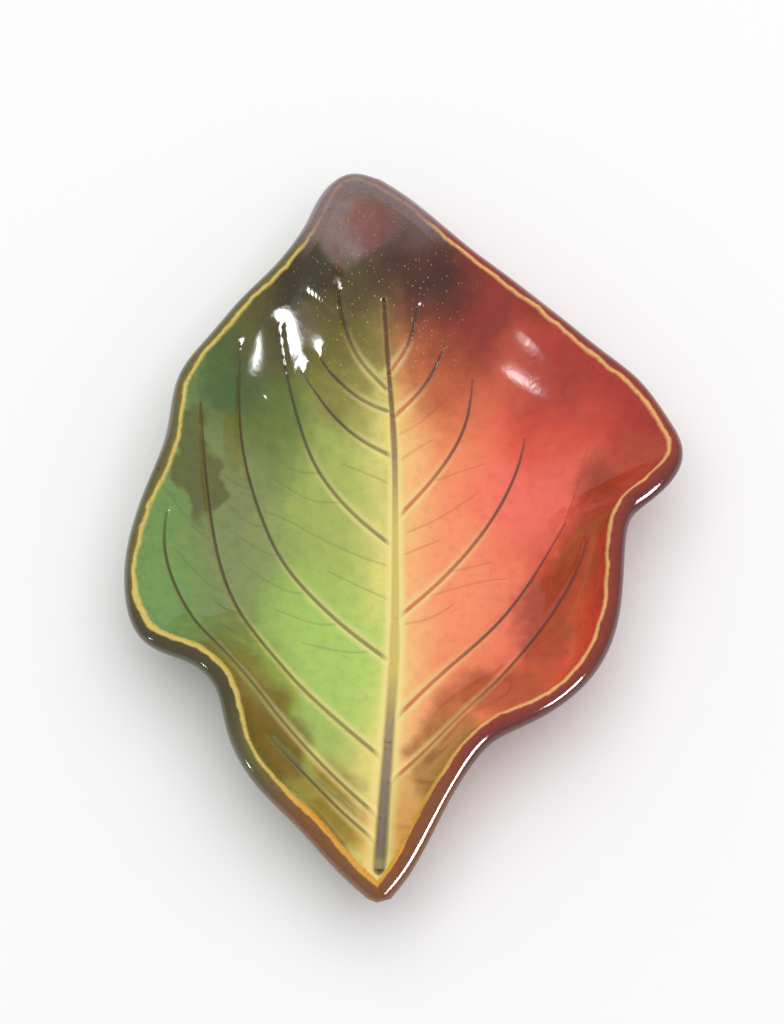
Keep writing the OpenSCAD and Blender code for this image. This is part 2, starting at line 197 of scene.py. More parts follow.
def face_grid(shares):
    """The face of the clay: a floor from the seam to the foot, then the wall by its shares."""
    f = np.linspace(0, 1, FOOT_COL + 1)[None, :, None]
    seam = np.stack([np.full(RING, SEAM_ACROSS), foot[:, 1] * SEAM_SHARE], 1)[:, None]
    floor = np.concatenate([seam * (1 - f) + foot[:, None] * f,
                            np.full((RING, FOOT_COL + 1, 1), SLAB)], 2)
    t = shares[:, :, None]
    soft = 0.5 * (t + np.sqrt(t * t + ONSET)) - 0.5 * math.sqrt(ONSET) * (1 - t)
    rise = (1 - lip[:, None, 3:]) * soft * soft + lip[:, None, 3:] * soft ** 4
    plan = foot[:, None] * (1 - t) + lip[:, None, :2] * t
    wall = np.concatenate([plan, SLAB + (lip[:, None, 2:3] - SLAB) * rise], 2)
    return np.concatenate([floor, wall[:, 1:]], 1)


def face_normals(grid):
    """Directions square to the face and up along it. The middle of the floor is level."""
    over = np.roll(grid, -1, 0) - np.roll(grid, 1, 0)
    up = np.gradient(grid, axis=1)
    normal = unit(np.cross(over, up))
    normal[:, :FOOT_COL // 2] = (0, 0, 1)
    return normal, unit(up)


def wall_shares(middle):
    """Shares up the wall, with one column set on the middle share of every spoke."""
    middle, band = middle[:, None], band_share[:, None]
    low = np.linspace(0, 1, LINE_COLS + 1)[None] * middle
    high = middle + (band - middle) * np.linspace(0, 1, WALL_COLS - LINE_COLS + 1)[None]
    top = band + (1 - band) * np.linspace(0, 1, BAND_COLS + 1)[None]
    return np.concatenate([low, high[:, 1:], top[:, 1:]], 1)


face = face_grid(wall_shares(line_share))
normal, up_wall = face_normals(face)


def strokes(lines, root, end):
    """Short straight lengths of the veins, with their half widths and shares outward."""
    parts = []
    for line in lines:
        steps = STROKES_PER_POINT * len(line)
        path = curve(line, np.linspace(0, 1, steps + 1))
        share = np.linspace(0, 1, steps + 1)
        width = root + (end - root) * share
        parts.append(np.column_stack([path[:-1], path[1:], width[:-1], share[:-1]]))
    return np.vstack(parts)


def nearest(points, parts):
    """Offset, distance and outward share to the nearest length, in half widths."""
    best = np.full(len(points), FAR)
    out = np.zeros((len(points), 4))
    for a, b, c, d, width, share in parts:
        way = np.array([c - a, d - b])
        off = points - (a, b)
        t = np.clip(off @ way / (way @ way), 0, 1)
        off = off - t[:, None] * way
        far = np.hypot(off[:, 0], off[:, 1]) / width
        nearer = far < best
        best[nearer] = far[nearer]
        out[nearer, :2] = off[nearer] / width
        out[nearer, 2] = far[nearer]
        out[nearer, 3] = share
    return out


RIB_PARTS = strokes([MIDRIB], *RIB_HALF)
VEIN_PARTS = strokes(LEFT_VEINS + RIGHT_VEINS, *VEIN_HALF)
FINE_PARTS = strokes(FINE_VEINS, *FINE_HALF)


def marks(plan):
    """What the shaders read at a place: the midrib, the side veins and the fine ones."""
    return nearest(plan, RIB_PARTS), nearest(plan, VEIN_PARTS), nearest(plan, FINE_PARTS)


def dip(rib, vein, fine):
    """Depth of the pressed leaf below the glaze at those places."""
    vein_depth = VEIN_DEPTH - VEIN_THINNING * vein[:, 3]
    deep = RIB_DEPTH * np.exp(-(rib[:, 2] / RIB_REACH) ** 4)
    deep = np.maximum(deep, vein_depth * np.exp(-(vein[:, 2] / VEIN_REACH) ** 2))
    deep = np.maximum(deep, FINE_DEPTH * np.exp(-(fine[:, 2] / FINE_REACH) ** 2))
    swell = SWELL * (1 - np.exp(-(vein[:, 2] / SWELL_FROM_VEIN) ** 2))
    swell = swell * (1 - np.exp(-(rib[:, 2] / SWELL_FROM_RIB) ** 2))
    return deep - swell + SWELL_START


edge_fade = np.ones(LIP_COL + 1)
edge_fade[BAND_COL - FADE_COLS:] = np.linspace(1, 0, BAND_COLS + FADE_COLS + 1)
sink = dip(*marks(face[:, :, :2].reshape(-1, 2))).reshape(RING, LIP_COL + 1) * edge_fade
uneven = ripple(face, *FACE_RIPPLE)


def skin(lift):
    """Every ring of points: out along the face, round the cut edge and back underneath."""
    raised = (lift + uneven - sink)[:, :, None]
    top = face + normal * raised
    n, u, c = normal[:, -1:], up_wall[:, -1:], face[:, -1:]
    turn = np.linspace(0, math.pi, EDGE_COLS + 1)[None, :, None]
    wobble = uneven[:, -1:, None] * np.cos(turn)
    plump = lift + ripple(lip[:, :2], *EDGE_RIPPLE)[:, None, None] * np.sin(turn)
    edge = c + n * ((SLAB / 2 + lift) * np.cos(turn) - SLAB / 2 + wobble)
    edge = edge + u * (EDGE_ROUND + plump) * np.sin(turn)
    roll = np.ones(LIP_COL + 1)
    if lift > 0:
        step = np.clip((np.arange(LIP_COL + 1) - LINE_COL) / ROLL_COLS, 0, 1)
        roll = np.sqrt(1 - (1 - step) ** 2)
    under = face - normal * (SLAB + (lift * roll + uneven * np.minimum(1, roll))[:, :, None])
    under[:, :FOOT_COL + 1, 2] = np.minimum(under[:, :FOOT_COL + 1, 2], 0)
    under[:, :, 2] = np.maximum(under[:, :, 2], 0)
    return np.concatenate([top, edge[:, 1:], under[:, -2::-1]], 1)


glaze_skin, clay_skin = skin(COAT), skin(0.0)

# Distance round the lip in millimetres: under 0 on the face, over 0 on the cut edge and back
steps = np.linalg.norm(np.diff(glaze_skin, axis=1), axis=2)
walk = np.concatenate([np.zeros((RING, 1)), np.cumsum(steps, 1)], 1)
round_lip = walk - walk[:, LIP_COL:LIP_COL + 1]


def fill_marks(mesh, plan, edge=None):
    """Store what the materials read: the pressed lines, the side and the way round the lip."""
    rib, vein, fine = marks(plan)
    across = plan[:, 0] - np.interp(plan[:, 1], [p[1] for p in MIDRIB], [p[0] for p in MIDRIB])
    edge = np.full(len(plan), INSIDE_LIP) if edge is None else edge
    for name, values in (("rib", rib), ("vein", vein), ("fine", fine)):
        layer = mesh.attributes.new(name, "FLOAT_VECTOR", "POINT")
        layer.data.foreach_set("vector", np.ascontiguousarray(values[:, :3]).ravel())
    single = {"across": across, "edge": edge, "outward": vein[:, 3], "rib_out": rib[:, 3]}
    for name, values in single.items():
        layer = mesh.attributes.new(name, "FLOAT", "POINT")
        layer.data.foreach_set("value", np.ascontiguousarray(values, dtype=float))


def finished_piece(name, mesh):
    mesh.polygons.foreach_set("use_smooth", [True] * len(mesh.polygons))
    mesh.update()
    piece = bpy.data.objects.new(name, mesh)
    bpy.context.collection.objects.link(piece)
    return piece


def skin_piece(name, points, faces, edge):
    """A piece of four-cornered faces, on the points that they use."""
    used, flat_ids = np.unique(faces.ravel(), return_inverse=True)
    points = points[used]
    mesh = bpy.data.meshes.new(name)
    mesh.from_pydata((points * MM).tolist(), [], flat_ids.reshape(-1, 4).tolist())
    fill_marks(mesh, points[:, :2], edge[used])
    piece = finished_piece(name, mesh)
    mesh.set_sharp_from_angle(angle=CRISP)
    return piece


def place_piece(piece, node, material):
    piece.data.materials.append(material)
    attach(piece, "root")
    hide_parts(node)


def cells(ids):
    """The four corners of every cell between two spokes, anticlockwise from outside."""
    a, b = ids, np.roll(ids, -1, 0)
    return a[:, :-1], b[:, :-1], b[:, 1:], a[:, 1:]


def coat_piece(name, held):
    """A closed coat on the held cells, from the clay up to the face of the glaze."""
    columns = END_COL + 1
    count = RING * columns
    ids = np.arange(count).reshape(RING, columns)
    a, b, c, d = cells(ids)
    faces = [np.stack([a, b, c, d], -1)[held], np.stack([d, c, b, a], -1)[held] + count]
    blank = np.zeros((RING, 1), bool)
    inner = np.concatenate([blank, held[:, :-1]], 1)
    outer = np.concatenate([held[:, 1:], blank], 1)
    ahead, behind = np.roll(held, -1, 0), np.roll(held, 1, 0)
    for p, q, beside in ((a, b, inner), (b, c, ahead), (c, d, outer), (d, a, behind)):
        rim = held & ~beside
        faces.append(np.stack([q[rim], p[rim], p[rim] + count, q[rim] + count], -1))
    points = np.vstack([glaze_skin.reshape(-1, 3), clay_skin.reshape(-1, 3)])
    edge = np.concatenate([round_lip.ravel(), round_lip.ravel()])
    return skin_piece(name, points, np.vstack(faces), edge)


def clay_piece(name):
    """The whole slab, on every second spoke and column. Both sides share the seams."""
    points, edge = clay_skin[::2, ::2], round_lip[::2, ::2]
    spokes, columns = edge.shape
    ids = np.arange(spokes * columns).reshape(spokes, columns)
    right = np.arange(spokes // 2 + 1, spokes)
    for seam in (0, -1):
        ids[right, seam] = ids[spokes - right, seam]
    faces = np.stack(cells(ids), -1).reshape(-1, 4)
    return skin_piece(name, points.reshape(-1, 3), faces, edge.ravel())


# Which cells each coat lies on
spoke = np.arange(RING)[:, None] + 0.5
column = np.arange(END_COL)[None]
every_spoke, left_half = spoke > 0, spoke < SPOKES
near_tip = (np.abs(spoke - SPOKES) < SPOKES - TIP_SPOKE) & (column >= TIP_COL)
on_face = (column < BAND_COL) & ~near_tip
on_tip = (column < BAND_COL) & near_tip
on_lip = every_spoke & (column >= BAND_COL) & (column < END_COL - BAND_COL)
on_back = (column >= END_COL - BAND_COL) & (column < END_COL - LINE_COL)

clay = clay_piece("dish_clay")
left_face = coat_piece("face_glaze_left", on_face & left_half)
right_face = coat_piece("face_glaze_right", on_face & ~left_half)
tip = coat_piece("tip_glaze_overlap", on_tip)
lip_coat = coat_piece("lip_glaze_band", on_lip)
left_back = coat_piece("back_glaze_left", on_back & left_half)
right_back = coat_piece("back_glaze_right", on_back & ~left_half)

# The stain lies in the pressed grooves, so its ribbons are laid on the glazed face from above
all_ids = np.arange(RING * (END_COL + 1)).reshape(RING, -1)
face_cells = np.stack([corner[:, :LIP_COL] for corner in cells(all_ids)], -1)
face_tree = BVHTree.FromPolygons(glaze_skin.reshape(-1, 3).tolist(), face_cells.reshape(-1, 4).tolist())
ABOVE, DOWN = 60.0, Vector((0, 0, -1))


def face_under(x, y):
    hit = face_tree.ray_cast(Vector((x, y, ABOVE)), DOWN)
    return hit[0].z if hit[0] else SLAB + COAT


def stain_piece(name, lines, half_widths, low=-FAR, high=FAR):
    """Closed ribbons of stain, crowned a little over the floor of each groove."""
    points, faces = [], []
    root, end = half_widths
    count = len(RIBBON)
    for line in lines:
        path = curve(line, np.linspace(0, 1, RIBBON_STEPS * len(line) + 1))
        path = path[(path[:, 1] >= low) & (path[:, 1] <= high)]
        way = unit(np.gradient(path, axis=0))
        first = len(points)
        for i, (place, ahead) in enumerate(zip(path, way)):
            width = root + (end - root) * i / (len(path) - 1)
            for off, lift in RIBBON:
                x, y = place[0] - ahead[1] * off * width, place[1] + ahead[0] * off * width
                points.append((x, y, face_under(x, y) + lift))
        for i in range(len(path) - 1):
            for j in range(count):
                a, b = first + i * count + j, first + i * count + (j + 1) % count
                faces.append((b, a, a + count, b + count))
        for start, order in ((first, 1), (first + (len(path) - 1) * count, -1)):
            ring = [start + j for j in range(count)][::order]
            faces.append((ring[0], ring[1], ring[2], ring[3]))
            faces.append((ring[0], ring[3], ring[4], ring[6]))
            faces.append((ring[4], ring[5], ring[6]))
    mesh = bpy.data.meshes.new(name)
    mesh.from_pydata([[c * MM for c in p] for p in points], [], faces)
    fill_marks(mesh, np.array(points)[:, :2])
    return finished_piece(name, mesh)


stalk = stain_piece("stalk_stain_inlay", [MIDRIB], STALK_RIBBON, high=STALK_END)
midrib = stain_piece("midrib_stain_inlay", [MIDRIB], RIB_RIBBON, low=STALK_END)
left_stain = stain_piece("vein_stain_left", LEFT_VEINS, VEIN_RIBBON)
right_stain = stain_piece("vein_stain_right", RIGHT_VEINS, VEIN_RIBBON)


def colour(red, green, blue):
    """A colour as it looks on a screen, turned into light values."""
    def light(c):
        c = c / 255
        return c / 12.92 if c <= 0.04045 else ((c + 0.055) / 1.055) ** 2.4

    return (light(red), light(green), light(blue), 1.0)


class Net:
    """Short calls that add and join the nodes of one tree."""

    def __init__(self, tree):
        self.tree = tree

    def put(self, socket, value):
        if isinstance(value, bpy.types.NodeSocket):
            self.tree.links.new(value, socket)
        elif value is not None:
            socket.default_value = value

    def add(self, kind, values=None, **settings):
        node = self.tree.nodes.new(kind)
        for name, value in settings.items():
            setattr(node, name, value)
        for key, value in (values or {}).items():
            self.put(node.inputs[key], value)
        return node

    def maths(self, operation, a, b):
        return self.add("ShaderNodeMath", {0: a, 1: b}, operation=operation).outputs[0]

    def vectors(self, operation, a, b=None):
        node = self.add("ShaderNodeVectorMath", operation=operation)
        self.put(node.inputs[0], a)
        self.put(node.inputs[1], b)
        return node.outputs["Value"] if operation == "LENGTH" else node.outputs[0]

    def span(self, value, low, high, start=0.0, stop=1.0):
        """A smooth step of value: start at low, stop at high."""
        limits = {"Value": value, "From Min": low, "From Max": high, "To Min": start, "To Max": stop}
        return self.add("ShaderNodeMapRange", limits, interpolation_type="SMOOTHSTEP").outputs[0]

    def mix(self, share, a, b, blend="MIX"):
        """Colour a turned into b by the share. The colour sockets are 6 and 7."""
        inputs = {0: share, 6: a, 7: b}
        return self.add("ShaderNodeMix", inputs, data_type="RGBA", blend_type=blend).outputs[2]

    def ramp(self, value, stops):
        node = self.add("ShaderNodeValToRGB")
        ramp = node.color_ramp
        while len(ramp.elements) < len(stops):
            ramp.elements.new(0.5)
        for element, (place, tone) in zip(ramp.elements, stops):
            element.position = place
            element.color = tone
        self.put(node.inputs[0], value)
        return node.outputs[0]

    def noise(self, place, scale, detail=3.0, rough=0.55, output="Fac"):
        settings = {"Vector": place, "Scale": scale, "Detail": detail, "Roughness": rough}
        return self.add("ShaderNodeTexNoise", settings).outputs[output]

    def specks(self, place, scale, size):
        """Round specks of many sizes, up to size in cells."""
        cell = self.add("ShaderNodeTexVoronoi", {"Vector": place, "Scale": scale}, feature="F1")
        chance = self.add("ShaderNodeSeparateColor", {0: cell.outputs["Color"]}).outputs[0]
        return self.maths("LESS_THAN", cell.outputs["Distance"], self.maths("MULTIPLY", chance, size))

    def place(self, scale=(1000, 1000, 1000)):
        """Where a point is on the dish, in millimetres."""
        return self.vectors("MULTIPLY", self.add("ShaderNodeTexCoord").outputs["Object"], scale)

    def mark(self, name, output="Vector"):
        return self.add("ShaderNodeAttribute", attribute_name=name).outputs[output]


def new_group(name, inputs, outputs):
    tree = bpy.data.node_groups.new(name, "ShaderNodeTree")
    for label, kind in inputs:
        tree.interface.new_socket(label, in_out="INPUT", socket_type=kind)
    for label, kind in outputs:
        tree.interface.new_socket(label, in_out="OUTPUT", socket_type=kind)
    return Net(tree), tree.nodes.new("NodeGroupInput"), tree.nodes.new("NodeGroupOutput")


def use_group(net, tree, values=None):
    node = net.add("ShaderNodeGroup", node_tree=tree)
    for key, value in (values or {}).items():
        net.put(node.inputs[key], value)
    return node


FLOAT, VECTOR, COLOUR = "NodeSocketFloat", "NodeSocketVector", "NodeSocketColor"

# A soft-edged patch, for pools of glaze, for painted reflections and for zones of colour: 1 inside its reach,
# fading to 0 outside
pool_net, pool_in, pool_out = new_group(
    "glaze_pool",
    [("Place", VECTOR), ("Centre", VECTOR), ("Reach", VECTOR), ("Softness", FLOAT)],
    [("Mask", FLOAT)])
offset = pool_net.vectors("SUBTRACT", pool_in.outputs["Place"], pool_in.outputs["Centre"])
spread = pool_net.vectors("LENGTH", pool_net.vectors("DIVIDE", offset, pool_in.outputs["Reach"]))
inside = pool_net.maths("SUBTRACT", 1.0, pool_in.outputs["Softness"])
outside = pool_net.maths("ADD", 1.0, pool_in.outputs["Softness"])
pool_net.put(pool_out.inputs["Mask"], pool_net.span(spread, inside, outside, 1.0, 0.0))

# A pressed line, read from its stored offset and distance in half widths
line_net, line_in, line_out = new_group(
    "pressed_line", [("Offset", VECTOR), ("Inner", FLOAT), ("Outer", FLOAT)], [("Mask", FLOAT)])
parts = line_net.add("ShaderNodeSeparateXYZ", {0: line_in.outputs["Offset"]})
level = line_net.add("ShaderNodeCombineXYZ", {0: parts.outputs[0], 1: parts.outputs[1]}).outputs[0]
# Half way between two lines their offsets cancel out, so the distance, less this, counts too
BETWEEN_LINES = 1.2
true_far = line_net.maths("SUBTRACT", parts.outputs[2], BETWEEN_LINES)
reach = line_net.maths("MAXIMUM", line_net.vectors("LENGTH", level), true_far)
line_mask = line_net.span(reach, line_in.outputs["Inner"], line_in.outputs["Outer"], 1.0, 0.0)
line_net.put(line_out.inputs["Mask"], line_mask)


def pool(net, place, centre, reach, softness):
    return use_group(net, pool_net.tree, {
        "Place": place, "Centre": (*centre, 0), "Reach": (*reach, 1), "Softness": softness}).outputs[0]


def pressed(net, name, inner, outer, strength=1.0):
    """A pressed line's mask, from full at inner to none at outer half widths."""
    values = {"Offset": net.mark(name), "Inner": inner, "Outer": outer}
    return net.maths("MULTIPLY", use_group(net, line_net.tree, values).outputs[0], strength)


# The colours of the glazed face, shared by the glazes and the stained veins
SURFACE = [("Colour", COLOUR), ("Rough", FLOAT), ("Height", FLOAT)]
face_net, _, face_out = new_group("face_colours", [], SURFACE)
net = face_net
place = net.place((1000, 1000, 0))
drift = net.noise(place, 0.09, 3.0, output="Color")
drift = net.vectors("MULTIPLY", net.vectors("SUBTRACT", drift, (0.5, 0.5, 0.5)), (16, 16, 0))
warped = net.vectors("ADD", place, drift)
across = net.mark("across", "Fac")
HALF_LEAF = 44.0
sway = net.maths("MULTIPLY", net.maths("SUBTRACT", net.noise(place, 0.25), 0.5), 5.0)
right_far = net.maths("DIVIDE", net.maths("ADD", across, sway), HALF_LEAF)
left_far = net.maths("MULTIPLY", right_far, -1.0)
green = net.ramp(left_far, [
    (0.0, colour(228, 205, 110)), (0.06, colour(228, 218, 125)), (0.2, colour(168, 182, 90)),
    (0.42, colour(136, 160, 78)), (0.62, colour(120, 138, 78)), (0.85, colour(104, 142, 76)),
    (1.0, colour(92, 130, 66))])
red = net.ramp(right_far, [
    (0.0, colour(246, 206, 120)), (0.07, colour(250, 186, 120)), (0.2, colour(244, 138, 92)),
    (0.42, colour(236, 104, 76)), (0.65, colour(218, 72, 54)), (0.85, colour(192, 50, 40)),
    (1.0, colour(166, 38, 32))])
paint = net.mix(net.span(across, -0.7, 0.7), green, red)

# Pools of glaze, and dark patches on the walls that are painted reflections of dark surroundings: colour,
# centre, reach across and along, softness and strength
POOLS_AND_PAINTED_REFLECTIONS = [
    ((164, 208, 98), (-13, -20), (10, 15), 0.6, 0.75),
    ((162, 176, 88), (-12, 8), (9, 14), 0.6, 0.5),
    ((88, 108, 36), (-24, 24), (8, 14), 0.5, 0.8),
    ((62, 96, 42), (-30, 29), (6, 9), 0.5, 0.85),
    ((116, 156, 80), (-42, -5), (8, 12), 0.5, 0.6),
    ((132, 142, 96), (-29, 4), (8, 13), 0.5, 0.5),
    ((84, 78, 22), (-21, 40), (10, 11), 0.5, 0.9),
    ((46, 31, 10), (-13, 47), (12, 12), 0.5, 0.92),
    ((112, 104, 34), (-9, 33), (7, 12), 0.5, 0.75),
    # The next three are olive patches low on the left wall: partly glaze pooled there, partly painted
    # reflection of dark surroundings in the gloss
    ((106, 104, 36), (-30, -25), (7, 8), 0.4, 0.8),
    ((98, 86, 28), (-22, -38), (6, 9), 0.4, 0.85),
    ((138, 116, 40), (-12, -49), (6, 8), 0.4, 0.8),
    ((255, 152, 112), (11, -5), (9, 16), 0.6, 0.5),
    ((248, 108, 92), (24, 9), (11, 10), 0.5, 0.85),
    ((226, 78, 52), (27, 20), (9, 7), 0.5, 0.8),
    ((172, 46, 34), (34, 29), (13, 9), 0.5, 0.9),
    ((168, 66, 28), (7, 34), (9, 12), 0.5, 0.75),
    ((146, 36, 24), (16, 43), (14, 9), 0.5, 0.95),
    ((62, 22, 14), (3, 49), (10, 11), 0.5, 0.94),
    # The next seven are partly glaze pooling and partly painted reflection: the dark band down the right
    # wall, the crisp olive patch in the left pinch and the brown patches low on the right wall
    ((188, 74, 40), (38, 10), (7, 4), 0.5, 0.7),
    ((152, 56, 32), (34, 5), (4.5, 6), 0.35, 0.75),
    ((156, 58, 34), (30, -4), (5, 8), 0.35, 0.75),
    ((150, 58, 36), (25, -15), (5, 8), 0.35, 0.7),
    ((86, 86, 32), (-35, 12.5), (3, 10), 0.2, 0.75),
    ((152, 66, 32), (18, -28), (9, 6), 0.4, 0.75),
    ((148, 80, 34), (7, -39), (5, 10), 0.4, 0.75),
    ((222, 150, 60), (-2, -54), (5, 8), 0.5, 0.7),
    ((112, 90, 88), (-6, 58), (14, 7), 0.4, 0.95),
    ((150, 124, 126), (-11, 55), (5, 5), 0.4, 0.7),
    ((138, 72, 70), (-5, 55), (4, 4), 0.5, 0.6)]
for tone, centre, reach_mm, softness, strength in POOLS_AND_PAINTED_REFLECTIONS:
    mask = pool(net, warped, centre, reach_mm, softness)
    paint = net.mix(net.maths("MULTIPLY", mask, strength), paint, colour(*tone))

# Mottling and a fine grain in the glaze
mottle = net.noise(place, 0.55, 6.0, 0.62)
paint = net.mix(net.span(mottle, 0.42, 0.72, 0.0, 0.28), paint, colour(238, 222, 170), "SOFT_LIGHT")
paint = net.mix(net.span(mottle, 0.5, 0.25, 0.0, 0.14), paint, colour(92, 60, 30), "MULTIPLY")
grainy = net.noise(place, 5.0, 4.0, 0.7)
paint = net.mix(net.span(grainy, 0.35, 0.7, 0.0, 0.2), paint, colour(250, 236, 190), "SOFT_LIGHT")
paint = net.mix(net.span(grainy, 0.55, 0.3, 0.0, 0.1), paint, colour(70, 60, 34))

# Veins: a pale halo where the glaze thins by the midrib, and a dark stained line
outward = net.mark("outward", "Fac")
on_right = net.span(across, -1.0, 1.0)
near_rib = net.span(outward, 0.1, 0.6, 1.0, 0.0)
halo = pressed(net, "vein", 0.8, 3.4, net.maths("MULTIPLY", near_rib, 0.6))
paint = net.mix(halo, paint, colour(244, 226, 150))
inner_tone = net.mix(on_right, colour(128, 122, 56), colour(206, 96, 52))
vein_tone = net.mix(near_rib, colour(66, 54, 44), inner_tone)
vein_share = pressed(net, "vein", 0.35, 1.15, net.span(outward, 0.75, 1.05, 0.85, 0.35))
paint = net.mix(vein_share, paint, vein_tone)
fine_tone = net.mix(on_right, colour(104, 104, 62), colour(176, 74, 48))
paint = net.mix(pressed(net, "fine", 0.2, 1.6, 0.3), paint, fine_tone)

# The midrib: dark at the stalk, straw in the middle and brown toward the tip
rib_out = net.mark("rib_out", "Fac")
rib_halo = pressed(net, "rib", 0.9, 3.0, net.span(rib_out, 0.62, 0.85, 0.85, 0.1))
paint = net.mix(rib_halo, paint, colour(248, 232, 150))
rib_core = pressed(net, "rib", 0.5, 1.2, net.span(rib_out, -0.02, 0.03, 0.6, 0.88))
rib_tone = net.ramp(rib_out, [
    (0.0, colour(74, 60, 62)), (0.14, colour(104, 90, 92)), (0.24, colour(146, 122, 88)),
    (0.34, colour(206, 182, 88)), (0.58, colour(208, 186, 88)), (0.7, colour(150, 112, 84)),
    (0.85, colour(92, 62, 40)), (1.0, colour(84, 52, 34))])
paint = net.mix(rib_core, paint, rib_tone)

# Gold speckle toward the tip
gold_zone = net.maths("MULTIPLY", pool(net, warped, (-4, 40), (15, 17), 0.5), 0.6)
gold = net.maths("MULTIPLY", net.specks(place, 1.5, 0.24), gold_zone)
paint = net.mix(gold, paint, colour(214, 176, 78))
net.put(face_out.inputs["Colour"], paint)
net.put(face_out.inputs["Rough"], net.span(grainy, 0.3, 0.7, 0.05, 0.11))
net.put(face_out.inputs["Height"], net.noise(place, 1.6, 5.0, 0.6))

# The cut edge: golden where the glaze breaks over the lip, then a darker band and a pale line
CUT_ROUND = 6.0  # millimetres round the cut edge
lip_net, lip_in, lip_out = new_group(
    "lip_colours", [("Face", COLOUR), ("Back", COLOUR)], [("Colour", COLOUR)])
net = lip_net
place = net.place()
wander = net.maths("MULTIPLY", net.maths("SUBTRACT", net.noise(place, 0.2, 3.0), 0.5), 1.6)
edge_mm = net.maths("ADD", net.mark("edge", "Fac"), wander)
side = net.span(net.mark("across", "Fac"), -3.0, 3.0)
flat_place = net.vectors("MULTIPLY", place, (1, 1, 0))
stalk_zone = pool(net, flat_place, (-4, -56), (20, 16), 0.4)
tip_zone = pool(net, flat_place, (-7, 60), (16, 11), 0.4)
olive_zone = pool(net, flat_place, (-36, -24), (17, 14), 0.4)
round_share = net.maths("DIVIDE", edge_mm, CUT_ROUND)
cut_red = net.ramp(round_share, [
    (0.0, colour(150, 50, 30)), (0.3, colour(132, 42, 28)), (0.48, colour(104, 36, 26)),
    (0.75, colour(84, 32, 24)), (0.9, colour(214, 148, 128)), (1.0, colour(140, 60, 46))])
cut_green = net.ramp(round_share, [
    (0.0, colour(120, 112, 44)), (0.3, colour(92, 86, 40)), (0.6, colour(92, 88, 56)),
    (0.88, colour(160, 158, 130)), (1.0, colour(90, 86, 48))])
cut = net.mix(side, cut_green, cut_red)
cut = net.mix(net.maths("MULTIPLY", olive_zone, 0.85), cut, colour(64, 56, 22))
cut = net.mix(net.maths("MULTIPLY", stalk_zone, 0.85), cut, colour(132, 76, 30))
breaking = net.mix(side, colour(214, 190, 96), colour(232, 176, 104))
breaking = net.mix(stalk_zone, breaking, colour(226, 164, 54))
width = net.maths("ADD", net.maths("MULTIPLY", stalk_zone, 0.7), net.maths("MULTIPLY", olive_zone, 0.6))
face_to_lip = net.span(net.maths("ADD", edge_mm, width), -0.35, 0.35)
paint = net.mix(face_to_lip, lip_in.outputs["Face"], breaking)
paint = net.mix(net.span(edge_mm, 0.4, 0.85), paint, cut)
paint = net.mix(net.maths("MULTIPLY", tip_zone, 0.85), paint, colour(136, 112, 114))
paint = net.mix(net.span(edge_mm, 5.2, 7.0), paint, lip_in.outputs["Back"])
speckle = net.noise(place, 1.4, 5.0, 0.7)
paint = net.mix(net.span(speckle, 0.5, 0.28, 0.0, 0.4), paint, colour(96, 58, 26), "MULTIPLY")
net.put(lip_out.inputs["Colour"], paint)

# The back: olive on the left and russet on the right, darker where the glaze pools low
back_net, _, back_out = new_group("back_colours", [], SURFACE)
net = back_net
place = net.place()
side = net.span(net.mark("across", "Fac"), -5.0, 5.0)
clouds = net.noise(place, 0.16, 5.0, 0.6)
left_back_tone = net.ramp(clouds, [
    (0.3, colour(58, 62, 24)), (0.5, colour(104, 110, 48)), (0.7, colour(136, 150, 88))])
right_back_tone = net.ramp(clouds, [
    (0.3, colour(92, 30, 22)), (0.5, colour(158, 48, 34)), (0.7, colour(196, 84, 58))])
paint = net.mix(side, left_back_tone, right_back_tone)
height_mm = net.add("ShaderNodeSeparateXYZ", {0: place}).outputs[2]
paint = net.mix(net.span(height_mm, 5.0, 1.2, 0.0, 0.55), paint, colour(62, 40, 22))
runs = net.noise(net.vectors("MULTIPLY", place, (1, 1, 0.12)), 0.9, 4.0, 0.6)
paint = net.mix(net.span(runs, 0.5, 0.75, 0.0, 0.4), paint, colour(206, 176, 110))
net.put(back_out.inputs["Colour"], paint)
net.put(back_out.inputs["Rough"], net.span(runs, 0.3, 0.7, 0.06, 0.14))
net.put(back_out.inputs["Height"], net.noise(place, 1.2, 4.0, 0.6))


def new_material(name):
    material = bpy.data.materials.new(name)
    material.use_nodes = True
    return material, Net(material.node_tree), material.node_tree.nodes["Principled BSDF"]


def glossy_material(name, bump=0.02, rough_add=0.0, kind="face"):
    """A high-gloss glaze over the shared colours, or stain just under the same gloss."""
    material, net, shader = new_material(name)
    face = use_group(net, face_net.tree) if kind != "back" else None
    back = use_group(net, back_net.tree) if kind != "face" else None
    paint = (face or back).outputs["Colour"]
    if kind == "lip":
        paint = use_group(net, lip_net.tree, {"Face": paint, "Back": back.outputs["Colour"]}).outputs[0]
    source = face or back
    height = source.outputs["Height"]
    lumps = net.add("ShaderNodeBump", {"Strength": bump, "Distance": MM, "Height": height})
    net.put(shader.inputs["Base Color"], paint)
    net.put(shader.inputs["Roughness"], net.maths("ADD", source.outputs["Rough"], rough_add))
    net.put(shader.inputs["Normal"], lumps.outputs[0])
    shader.inputs["IOR"].default_value = 1.52
    shader.inputs["Coat Weight"].default_value = 0.6
    shader.inputs["Coat Roughness"].default_value = 0.03
    return material


